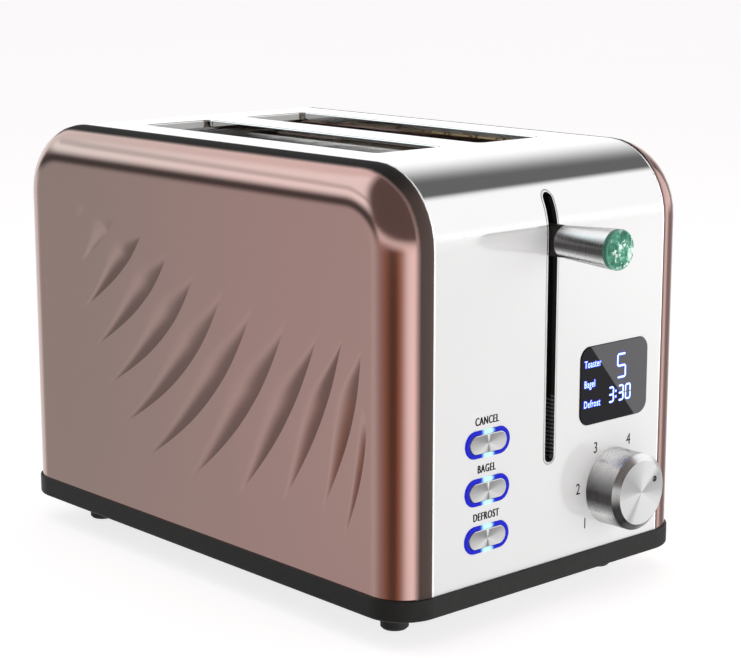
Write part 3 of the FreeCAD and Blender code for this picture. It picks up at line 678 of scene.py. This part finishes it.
def ridged_patch(bm, place):
    """The ridged part of a cover. Returns its border lines and its crease edges, as vertex numbers.

    place(point, depth) gives a vertex's position.
    """
    columns = ridge_columns()
    grid = []
    for ridge, step in columns:
        points = [ridge_vertex(ridge, step, k / RIDGE_ROWS) for k in range(RIDGE_ROWS + 1)]
        grid.append([bm.verts.new(place(at, depth)) for at, depth in points])
    for a, b in zip(grid, grid[1:]):
        join_rows(bm, a, b)
    bm.verts.index_update()
    border = [grid[0], grid[-1], [line[0] for line in grid], [line[-1] for line in grid]]
    sharp_lines = border + [line for line, (_, step) in zip(grid, columns) if step in (None, 1.0)]
    sharp = set()
    for line in sharp_lines:
        sharp.update(tuple(sorted((a.index, b.index))) for a, b in zip(line, line[1:]))
    return border, sharp


def side_cover(name, side):
    """Pressed cover: ridged flat, rounded edge, and the sheet's thickness. side is -1 for -X."""
    bm = bmesh.new()
    outer_x = -COVER_LOW.x
    arc_steps, inner_arc_steps = 14, 8
    flat_inset = ROUND + 1.5 * MM

    def place(point, depth):
        return (side * (outer_x - depth), point.x, point.y)

    def row(inset, depth):
        return [bm.verts.new(place(point, depth)) for point in body_outline(inset)]

    border, sharp = ridged_patch(bm, place)
    edges = []
    for line in border:
        edges += [bm.edges.get(pair) for pair in zip(line, line[1:])]
    # flat round the patch, then the rounded edge, the rim of the sheet and the inside
    flat = row(flat_inset, 0)
    edges += [bm.edges.new(pair) for pair in zip(flat, flat[1:])]
    edges.append(bm.edges.new((flat[-1], flat[0])))
    bmesh.ops.triangle_fill(bm, use_beauty=True, edges=edges)
    rows = [flat]
    for k in range(arc_steps + 1):
        a = math.pi / 2 * k / arc_steps
        rows.append(row(ROUND * (1 - math.sin(a)), ROUND * (1 - math.cos(a))))
    rows.append(row(0.25 * MM, ROUND + 0.25 * MM))
    rows.append(row(SHEET, ROUND + 0.25 * MM))
    inner_round = ROUND - SHEET
    for k in range(inner_arc_steps, -1, -1):
        a = math.pi / 2 * k / inner_arc_steps
        rows.append(row(SHEET + inner_round * (1 - math.sin(a)), SHEET + inner_round * (1 - math.cos(a))))
    rows.append(row(flat_inset, SHEET + RIDGE_DEPTH))
    for a, b in zip(rows, rows[1:]):
        join_rows(bm, a, b)
    deep = rows[-1]
    inner_edges = [bm.edges.get(pair) for pair in zip(deep, deep[1:])]
    inner_edges.append(bm.edges.new((deep[-1], deep[0])))
    bmesh.ops.triangle_fill(bm, use_beauty=True, edges=inner_edges)
    piece = piece_from(name, bm, SLOT_MATERIALS["copper_paint"], 50)
    for edge in piece.data.edges:
        if tuple(sorted(edge.vertices)) in sharp:
            edge.use_edge_sharp = True
    return piece


def wrap_edge(name, side, material):
    """The wrap's cut edge, a thin strip between the wrap and a cover that carries a painted highlight."""
    bm = bmesh.new()
    rows = []
    for across, lift in ((0.15, -0.2), (0.0, 0.08), (-0.7, 0.08), (-0.8, -0.2)):
        x = side * (SEAM_X + across * MM)
        rows.append([bm.verts.new((x, p.x, min(p.y, WRAP_HIGH.z))) for p in body_outline(-lift * MM)])
    for a, b in zip(rows, rows[1:]):
        join_rows(bm, a, b)
    piece = piece_from(name, bm, material)
    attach(piece, "housing")


# ---------------------------------------------------------------- panel print
CAP_SHARE = 0.729  # height of the built-in font's capitals, as a share of its size


def text_piece(name, words, place, cap_height, material, squeeze, copies, align="CENTER", bold=0.0):
    """Lettering on the housing's front, on its baseline. copies are sideways steps that thicken it."""
    curve = bpy.data.curves.new(name, "FONT")
    curve.body = words
    curve.align_x = align
    curve.size = cap_height / CAP_SHARE
    curve.offset = bold
    curve.resolution_u = 3
    curve.space_character = 1.12
    draft = bpy.data.objects.new(name + "_draft", curve)
    bpy.context.scene.collection.objects.link(draft)
    bpy.context.view_layer.update()
    flat = draft.to_mesh()
    x, y, z = place
    bm = bmesh.new()
    for step in copies:
        for polygon in flat.polygons:
            corners = [flat.vertices[k].co for k in polygon.vertices]
            bm.faces.new([bm.verts.new((c.x * squeeze + x + step, y, c.y + z)) for c in corners])
    draft.to_mesh_clear()
    bpy.data.objects.remove(draft)
    bpy.data.curves.remove(curve)
    mesh = bpy.data.meshes.new(name)
    bm.to_mesh(mesh)
    bm.free()
    piece = bpy.data.objects.new(name, mesh)
    bpy.context.scene.collection.objects.link(piece)
    mesh.materials.append(material)
    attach(piece, "housing")


DIAL_ANGLES = (219.5, 174, 120, 61, 8, -44)  # degrees from +X through +Z, for the numbers 1 to 6
DIAL_RADIUS = 21.3 * MM


def panel_lettering():
    ink = print_ink()
    y = FRONT - 0.03 * MM
    label_height, label_gap, digit_height = 3.4 * MM, 2.15 * MM, 5 * MM
    label_copies = [k * 0.10 * MM for k in (-2, -1, 0, 1, 2)]
    digit_copies = (-0.06 * MM, 0.06 * MM)
    for name in ("cancel", "bagel", "defrost"):
        low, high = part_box(f"light_ring_{name}")
        place = ((low.x + high.x) / 2 - 0.3 * MM, y, high.z + label_gap)
        text_piece(f"label_{name}", name.upper(), place, label_height, ink, 0.69, label_copies)
    middle = centre("browning_knob")
    for number, degrees in enumerate(DIAL_ANGLES, start=1):
        angle = math.radians(degrees)
        x = middle.x + DIAL_RADIUS * math.cos(angle)
        z = middle.z + DIAL_RADIUS * math.sin(angle) - digit_height / 2
        text_piece(f"dial_{number}", str(number), (x, y, z), digit_height, ink, 0.82, digit_copies)


# ---------------------------------------------------------------- lit display
# The bars of a seven-segment digit, each from one point to another in shares of its width and height.
SEGMENTS = {
    "a": ((0, 1), (1, 1)),
    "b": ((1, 1), (1, 0.5)),
    "c": ((1, 0.5), (1, 0)),
    "d": ((0, 0), (1, 0)),
    "e": ((0, 0.5), (0, 0)),
    "f": ((0, 1), (0, 0.5)),
    "g": ((0, 0.5), (1, 0.5)),
}
DIGITS = {"5": "afgcd", "3": "abgcd", "0": "abcdef"}


def segment_bars(bm, digit, x, z, width, height, thick, y):
    """Adds the lit bars of one seven-segment digit, each with pointed ends."""
    for key in DIGITS[digit]:
        (x0, z0), (x1, z1) = SEGMENTS[key]
        a = Vector((x + x0 * width, z + z0 * height))
        b = Vector((x + x1 * width, z + z1 * height))
        run = (b - a).normalized()
        a, b = a + run * thick * 0.55, b - run * thick * 0.55
        side = Vector((-run.y, run.x)) * thick / 2
        tip = run * thick / 2
        outline = (a - tip, a - side, b - side, b + tip, b + side, a + side)
        bm.faces.new([bm.verts.new((p.x, y, p.y)) for p in outline])


def digit_piece(name, digits, material, thick, y):
    """digits is a list of (digit, x, z, width, height); a colon is two square dots."""
    bm = bmesh.new()
    half = thick * 0.55
    dot = ((-half, -half), (half, -half), (half, half), (-half, half))
    for digit, x, z, width, height in digits:
        if digit == ":":
            for dot_z in (z + height * 0.3, z + height * 0.7):
                bm.faces.new([bm.verts.new((x + i, y, dot_z + j)) for i, j in dot])
        else:
            segment_bars(bm, digit, x, z, width, height, thick, y)
    extruded = bmesh.ops.extrude_face_region(bm, geom=list(bm.faces))
    moved = [v for v in extruded["geom"] if isinstance(v, bmesh.types.BMVert)]
    bmesh.ops.translate(bm, vec=(0, -0.015 * MM, 0), verts=moved)
    piece = piece_from(name, bm, material)
    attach(piece, "housing")


def lit_display():
    """Words and digits, each over two wider and darker layers that make its glow."""
    # layer name, material, how far it spreads and how far it stands off the lens, in millimetres
    layers = (
        ("halo", glow("halo_blue", rgb(34, 38, 170), 0.34), 0.36, 0.010),
        ("edge", glow("edge_blue", rgb(58, 76, 255), 0.85), 0.15, 0.030),
        ("core", glow("core_blue", rgb(178, 206, 255), 1.0), 0.0, 0.050),
    )
    left, low = LENS_LOW.x, LENS_LOW.z
    words = (("toaster", "Toaster", 24.7), ("bagel", "Bagel", 16.2), ("defrost", "Defrost", 7.6))
    level = [("5", left + 23.0 * MM, low + 17.8 * MM, 5.0 * MM, 10.0 * MM)]
    x0, z0, height = left + 17.9 * MM, low + 7.9 * MM, 6.2 * MM
    time = [("3", x0, z0, 2.8 * MM, height), (":", x0 + 4.3 * MM, z0, 0, height)]
    time += [(digit, x0 + (6.1 + 4.5 * k) * MM, z0, 2.9 * MM, height) for k, digit in enumerate("30")]
    for layer, material, spread, lift in layers:
        y = LENS_LOW.y - lift * MM
        copies = [k * spread * MM for k in (-1, 0, 1)] if spread else [0]
        for name, word, up in words:
            text_piece(
                f"display_{name}_{layer}",
                word,
                (left + 2.2 * MM, y, low + up * MM),
                3.2 * MM,
                material,
                0.66,
                copies,
                align="LEFT",
                bold=spread * 0.5 * MM,
            )
        digit_piece(f"display_level_{layer}", level, material, (0.8 + 2.4 * spread) * MM, y)
        digit_piece(f"display_time_{layer}", time, material, (0.7 + 2.2 * spread) * MM, y)


# ---------------------------------------------------------------- small details
def indicator_dot():
    """Dark raised ring round the knob's bare metal, on its face by the rim."""
    middle = centre("browning_knob")
    angle, from_middle, sides = math.radians(28.5), 9.6 * MM, 24
    x, z = middle.x + from_middle * math.cos(angle), middle.z + from_middle * math.sin(angle)
    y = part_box("browning_knob")[0].y
    turns = [2 * math.pi * k / sides for k in range(sides)]
    bm = bmesh.new()
    rings = []
    for radius, lift in ((1.35, 0.0), (1.28, 0.02), (0.86, 0.02), (0.78, 0.0)):
        r = radius * MM
        spots = [(x + r * math.cos(t), y - lift * MM, z + r * math.sin(t)) for t in turns]
        rings.append([bm.verts.new(spot) for spot in spots])
    for a, b in zip(rings, rings[1:]):
        join_rows(bm, a, b, closed=True)
    piece = piece_from("indicator_dot", bm, SLOT_MATERIALS["foot_rubber"])
    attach(piece, "browning_knob")


def guide_ribs():
    """Fine cross ribs on the two inner walls of the lever's guide, low down behind the slit, in a mid grey
    that paints their highlights.
    """
    low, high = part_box("lever_guide")
    middle = (low.x + high.x) / 2
    ribs, first, pitch = 16, 4.0 * MM, 1.7 * MM
    size = Matrix.Diagonal((0.5 * MM, 7 * MM, 0.8 * MM, 1))
    bm = bmesh.new()
    for side in (-1, 1):
        for k in range(ribs):
            spot = Vector((middle + side * 3.4 * MM, FRONT + 5.5 * MM, low.z + first + pitch * k))
            bmesh.ops.create_cube(bm, size=1.0, matrix=Matrix.Translation(spot) @ size)
    bmesh.ops.bevel(bm, geom=list(bm.edges), offset=0.12 * MM, segments=1, affect="EDGES")
    piece = piece_from("guide_ribs", bm, rib_plastic())
    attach(piece, "housing")


def lift_coil():
    """Extension spring that lengthens between the carriage's lug and the fixed bracket above it."""
    low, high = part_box("lift_spring")
    wire = 0.45 * MM
    coil_radius = (high.x - low.x) / 2 - wire
    middle = Vector(((low.x + high.x) / 2, (low.y + high.y) / 2))
    rise = high.z - low.z - 2 * wire
    turns, steps, sides = 10, 28, 8
    bm = bmesh.new()
    rings = []
    for k in range(turns * steps + 1):
        a = 2 * math.pi * k / steps
        out = Vector((math.cos(a), math.sin(a), 0))
        spot = Vector((middle.x, middle.y, low.z + wire + rise * k / (turns * steps))) + out * coil_radius
        ring = []
        for j in range(sides):
            b = 2 * math.pi * j / sides
            ring.append(bm.verts.new(spot + out * wire * math.cos(b) + Vector((0, 0, wire * math.sin(b)))))
        rings.append(ring)
    for a, b in zip(rings, rings[1:]):
        join_rows(bm, a, b, closed=True)
    bm.faces.new(rings[0])
    bm.faces.new(list(reversed(rings[-1])))
    piece = piece_from("lift_coil", bm, SLOT_MATERIALS["spring_steel"])
    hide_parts("lift_spring")
    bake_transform(piece)


# The lever's slit in the panel: half its width, and the heights of its two ends.
SLIT_HALF = 2.7 * MM
SLIT_LOW = 64.4 * MM
SLIT_HIGH = 176.2 * MM


def slit_outline(margin):
    """Points (x from the slit's middle, z) of a stadium that runs margin outside the slit."""
    side_steps, end_steps = 40, 12
    half = SLIT_HALF + margin
    low, high = SLIT_LOW + SLIT_HALF, SLIT_HIGH - SLIT_HALF
    outline = []
    for first, z, next_z in ((0.0, high, low), (math.pi, low, high)):
        for k in range(end_steps + 1):
            a = first + math.pi * k / end_steps
            outline.append((half * math.cos(a), z + half * math.sin(a)))
        side = -half if first == 0.0 else half
        outline += [(side, z + (next_z - z) * k / side_steps) for k in range(1, side_steps)]
    return outline


def slit_trim():
    """Narrow rolled edge round the lever's slit. It follows the top bend."""
    guide_low, guide_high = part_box("lever_guide")
    middle = (guide_low.x + guide_high.x) / 2
    bend_start = WRAP_HIGH.z - BEND
    bm = bmesh.new()
    rows = []
    # millimetres outside the slit, and off the wrap's face
    for margin, lift in ((0.35, -0.3), (0.35, 0.02), (0.5, 0.14), (0.9, 0.14), (1.05, 0.02), (1.1, -0.1)):
        row = []
        for x, z in slit_outline(margin * MM):
            up = max(0.0, z - bend_start)
            level = math.sqrt(BEND**2 - up**2)
            outward = Vector((0, -level, up)).normalized() * lift * MM
            row.append(bm.verts.new((middle + x, FRONT + BEND - level + outward.y, z + outward.z)))
        rows.append(row)
    for a, b in zip(rows, rows[1:]):
        join_rows(bm, a, b, closed=True)
    piece = piece_from("slit_trim", bm, SLOT_MATERIALS["bright_wire"])
    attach(piece, "housing")


# ---------------------------------------------------------------- stage
def area_light(name, place, target, size, power):
    """A square lamp that lights the object but isn't mirrored in it."""
    data = bpy.data.lights.new(name, "AREA")
    data.size = size
    data.energy = power
    lamp = bpy.data.objects.new(name, data)
    bpy.context.scene.collection.objects.link(lamp)
    lamp.location = place
    direction = Vector(target) - Vector(place)
    lamp.rotation_euler = direction.to_track_quat("-Z", "Y").to_euler()
    lamp.visible_glossy = False
    return lamp


def studio_lights():
    area_light("overhead", (-0.2, MID_Y - 0.3, 1.6), (0, MID_Y, 0.1), 1.6, 6)
    fill = area_light("panel_fill", (0.4, FRONT - 0.6, 0.05), (0.05, FRONT, 0.1), 0.8, 8.5)
    fill.data.use_shadow = False


def studio_floor():
    """A pale floor that lights the object from below but isn't mirrored: the world does that."""
    mesh = bpy.data.meshes.new("floor")
    half = 80
    corners = [(-half, -half, 0), (half, -half, 0), (half, half, 0), (-half, half, 0)]
    mesh.from_pydata(corners, [], [(0, 1, 2, 3)])
    floor = bpy.data.objects.new("floor", mesh)
    bpy.context.scene.collection.objects.link(floor)
    material, n, shader = new_material("floor_white")
    n.set(shader, "Base Color", n.mix(n.noise(3, 1), rgb(184, 178, 178), rgb(188, 182, 182)))
    n.set(shader, "Roughness", 0.9)
    n.set(shader, "Specular IOR Level", 0.0)
    n.set(shader, "Emission Color", grey(1.0))
    n.set(shader, "Emission Strength", 0.74)
    mesh.materials.append(material)
    floor.visible_glossy = False


# Brightness round the horizon, as (degrees from +X through +Y, brightness): what the covers and the
# turned parts mirror.
HORIZON = (
    (0, 0.24),
    (14, 0.45),
    (26, 0.90),
    (72, 1.0),
    (104, 1.0),
    (115, 0.50),
    (123, 0.50),
    (130, 0.57),
    (142, 0.68),
    (162, 0.42),
    (180, 0.28),
    (196, 0.11),
    (207, 0.12),
    (223, 0.48),
    (242, 1.25),
    (254, 1.40),
    (264, 0.95),
    (274, 0.30),
    (288, 0.20),
    (304, 0.16),
    (310, 0.92),
    (334, 0.92),
    (346, 0.28),
)


def studio_world():
    """A studio whose bright and dark areas are set for what the object mirrors."""
    world = bpy.data.worlds.new("studio")
    bpy.context.scene.world = world
    world.use_nodes = True
    n = Nodes(world.node_tree)
    coordinate = n.add("ShaderNodeTexCoord")
    x, y, z = n.add("ShaderNodeSeparateXYZ", i0=coordinate.outputs["Generated"]).outputs

    def both(*masks):
        value = masks[0]
        for mask in masks[1:]:
            value = n.math("MULTIPLY", value, mask)
        return value

    turn = n.math("FRACT", n.math("ADD", n.math("DIVIDE", n.math("ARCTAN2", y, x), 2 * math.pi), 1.0))
    low = n.ramp(turn, HORIZON)
    # a brown flag on the left, seen in the rounded front edge of the cover
    brown = both(n.smooth(turn, 145 / 360, 195 / 360), n.smooth(turn, 236 / 360, 212 / 360))
    low = n.tint(brown, low, (1.1, 0.52, 0.28, 1.0))
    # the panel's share: brighter towards the horizon
    rise = n.math("ADD", z, n.math("SUBTRACT", x, 0.7))
    front_right = both(n.smooth(x, 0.5, 0.62), n.smooth(y, -0.3, -0.5))
    low = n.mix(both(front_right, n.smooth(rise, -0.2, -0.1)), low, grey(1.16))
    # looking steeply down on the left it is darker
    steep = both(n.smooth(z, -0.30, -0.55), n.smooth(y, 0.85, 0.66), n.smooth(x, 0.1, -0.2))
    low = n.mix(both(steep, 0.9), low, grey(0.22))
    # above the horizon
    high = n.mix(n.smooth(z, 0.08, 0.2), grey(1.16), grey(1.07))
    # the right half's ceiling: dark at the front, bright at the back
    ceiling = n.mix(n.smooth(y, 0.0, 0.66), grey(0.14), grey(1.14))
    skew = n.math("SUBTRACT", y, n.math("MULTIPLY", n.math("SUBTRACT", x, 0.72), 1.2))
    high = n.mix(both(n.smooth(skew, -0.33, -0.20), n.smooth(x, 0.3, 0.45)), high, ceiling)
    # bands behind on the left, seen in the top rounded edge of the cover
    back_left = both(n.smooth(x, 0.0, -0.25), n.smooth(y, 0.2, 0.45))
    glow_up = n.mix(n.smooth(z, 0.12, 0.37), grey(0.08), cool(1.42))
    glow_up = n.mix(n.smooth(z, 0.40, 0.47), glow_up, cool(0.88))
    glow_up = n.mix(n.smooth(z, 0.50, 0.57), glow_up, cool(1.35))
    high = n.mix(back_left, high, glow_up)
    # dark above the left and the front, seen in the cover's upper corner
    upper_left = both(n.smooth(x, 0.60, 0.42), n.smooth(y, 0.50, 0.25), n.smooth(z, 0.0, 0.18))
    high = n.mix(upper_left, high, (0.15, 0.13, 0.125, 1.0))
    # a dark flag at the back right
    flag = both(n.smooth(x, 0.24, 0.32), n.smooth(x, 0.62, 0.56), n.smooth(y, 0.6, 0.7))
    flag = both(flag, n.smooth(z, 0.13, 0.17), n.smooth(z, 0.62, 0.56))
    high = n.mix(both(flag, 0.95), high, grey(0.05))
    whole = n.mix(n.smooth(z, -0.1, 0.04), low, high)
    background = n.add("ShaderNodeBackground", Color=whole, Strength=1.0)
    out = n.add("ShaderNodeOutputWorld")
    n.tree.links.new(background.outputs[0], out.inputs[0])


CAMERA_PLACE = (-0.57943, MID_Y - 0.66446, 0.27898)
CAMERA_TURN = 42.012  # degrees from +Y towards +X
CAMERA_TILT = 11.457  # degrees downwards
FOCAL_LENGTH = 95.26  # for a sensor 36 mm wide


def studio_camera():
    data = bpy.data.cameras.new("camera")
    data.lens = FOCAL_LENGTH
    data.sensor_width = 36
    data.clip_start, data.clip_end = 0.02, 30
    camera = bpy.data.objects.new("camera", data)
    bpy.context.scene.collection.objects.link(camera)
    camera.location = CAMERA_PLACE
    turn, tilt = math.radians(CAMERA_TURN), math.radians(CAMERA_TILT)
    aim = Vector((math.sin(turn) * math.cos(tilt), math.cos(turn) * math.cos(tilt), -math.sin(tilt)))
    camera.rotation_euler = aim.to_track_quat("-Z", "Y").to_euler()
    bpy.context.scene.camera = camera


# ---------------------------------------------------------------- build
studio_camera()
studio_world()
studio_floor()
studio_lights()
dress_cad_nodes()
for cover_name, cover_side in (("side_cover_left", -1), ("side_cover_right", 1)):
    cover = side_cover(f"{cover_name}_skin", cover_side)
    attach(cover, "housing")
    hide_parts(cover_name)
# the wrap's cut edges get a painted highlight
edge_highlight_material = bright_edge()
wrap_edge("wrap_edge_left", -1, edge_highlight_material)
wrap_edge("wrap_edge_right", 1, edge_highlight_material)
panel_lettering()
lit_display()
indicator_dot()
guide_ribs()
slit_trim()
lift_coil()
bpy.context.scene.view_settings.view_transform = "Standard"
bpy.context.view_layer.update()
